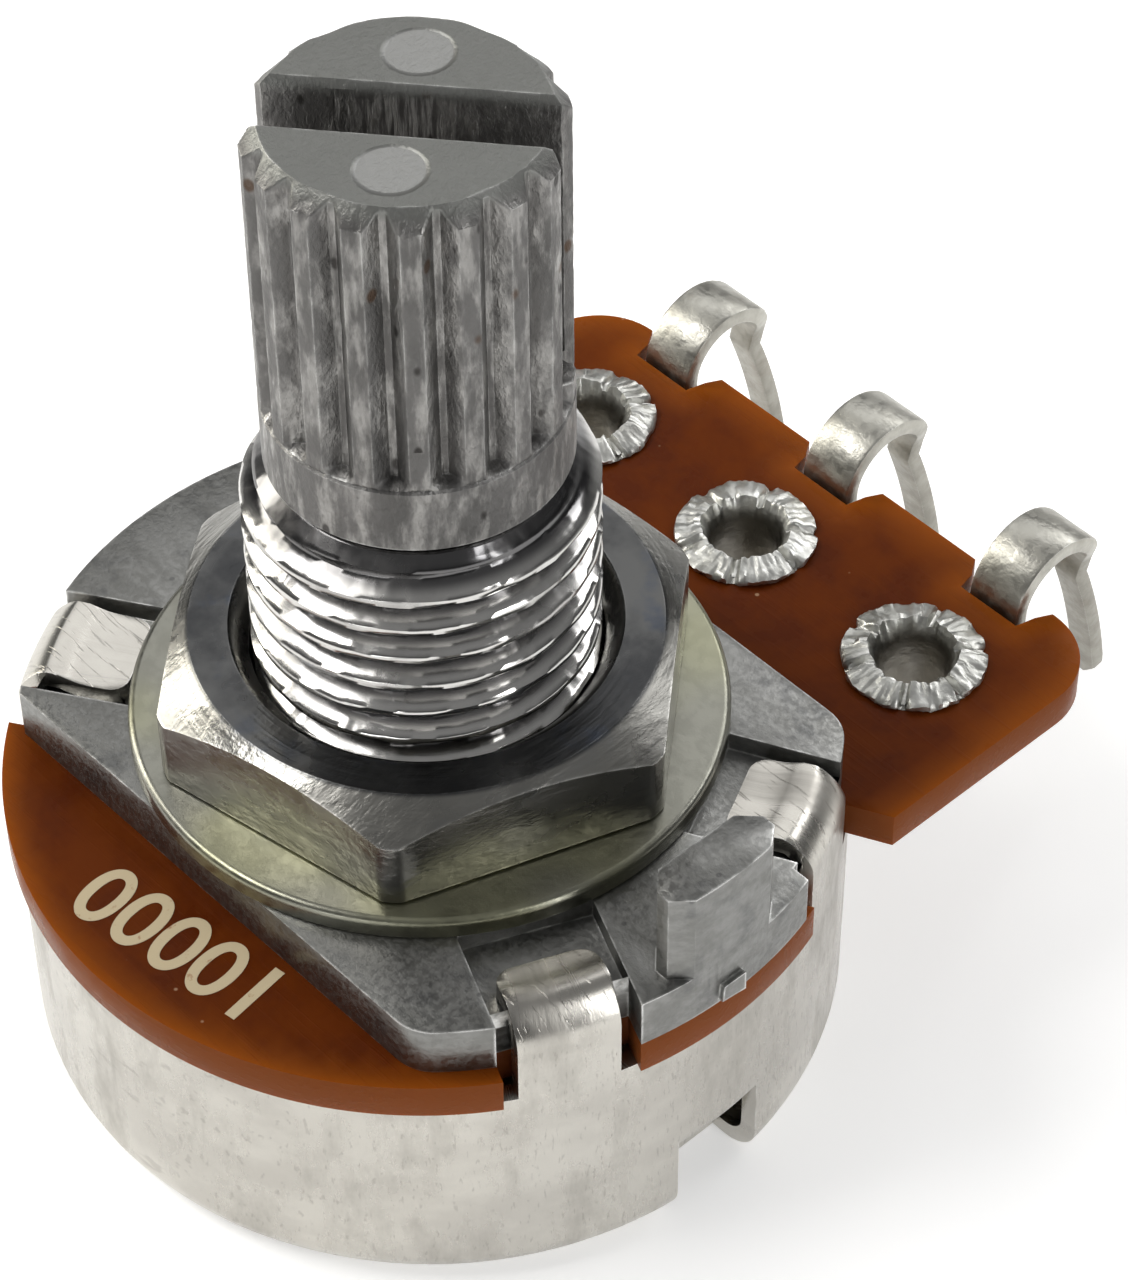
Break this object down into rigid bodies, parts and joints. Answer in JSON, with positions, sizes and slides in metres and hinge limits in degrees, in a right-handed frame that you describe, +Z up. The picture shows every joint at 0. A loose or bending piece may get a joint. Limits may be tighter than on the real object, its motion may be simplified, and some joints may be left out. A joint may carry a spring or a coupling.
{
  "type": "rotary potentiometer",
  "caption": "Panel-mount rotary potentiometer: split knurled shaft in a threaded bushing, round metal cover, and a brown board with arched solder terminals.",
  "frame": {"origin": "on the shaft's axis, at the mounting face that the bushing stands on", "axes": "+Z runs up the shaft, +Y points to the row of terminals, +X points to the locating key"},
  "size_m": [0.0177, 0.0242, 0.0233],
  "materials": {
    "zinc_casting": "die-cast zinc, satin and slightly mottled, its thread bright",
    "zinc_plate": "zinc-plated steel, faintly yellow at the rim",
    "nickel": "nickel-plated, satin face and bright bevels",
    "shaft_metal": "grey metal, scuffed and speckled",
    "spring_steel": "spring steel",
    "phenolic": "red-brown phenolic laminate, amber at its edges",
    "carbon": "screen-printed carbon",
    "silver_print": "silver ink",
    "tinned": "tinned brass",
    "rotor_plastic": "moulded acetal",
    "bronze": "phosphor bronze leaf",
    "plated_sheet": "plated sheet steel with draw marks and scratches"
  },
  "bodies": {
    "base": {"bushing_plate": "zinc_casting", "flat_washer": "zinc_plate", "mounting_nut": "nickel", "terminal_board": "phenolic", "carbon_track": "carbon", "collector_ring": "silver_print", "track_end_1": "silver_print", "track_end_3": "silver_print", "eyelet_1": "tinned", "eyelet_2": "tinned", "eyelet_3": "tinned", "terminal_1": "tinned", "terminal_2": "tinned", "terminal_3": "tinned", "rear_cover": "plated_sheet"},
    "spindle": {"shaft": "shaft_metal", "retaining_ring": "spring_steel", "rotor": "rotor_plastic", "wiper": "bronze"}
  },
  "joints": [
    {"name": "shaft_turn", "type": "hinge", "parent": "base", "child": "spindle", "pos_m": [0, 0, 0], "axis": [0, 0, 1], "range_deg": [-300, 0]}
  ]
}
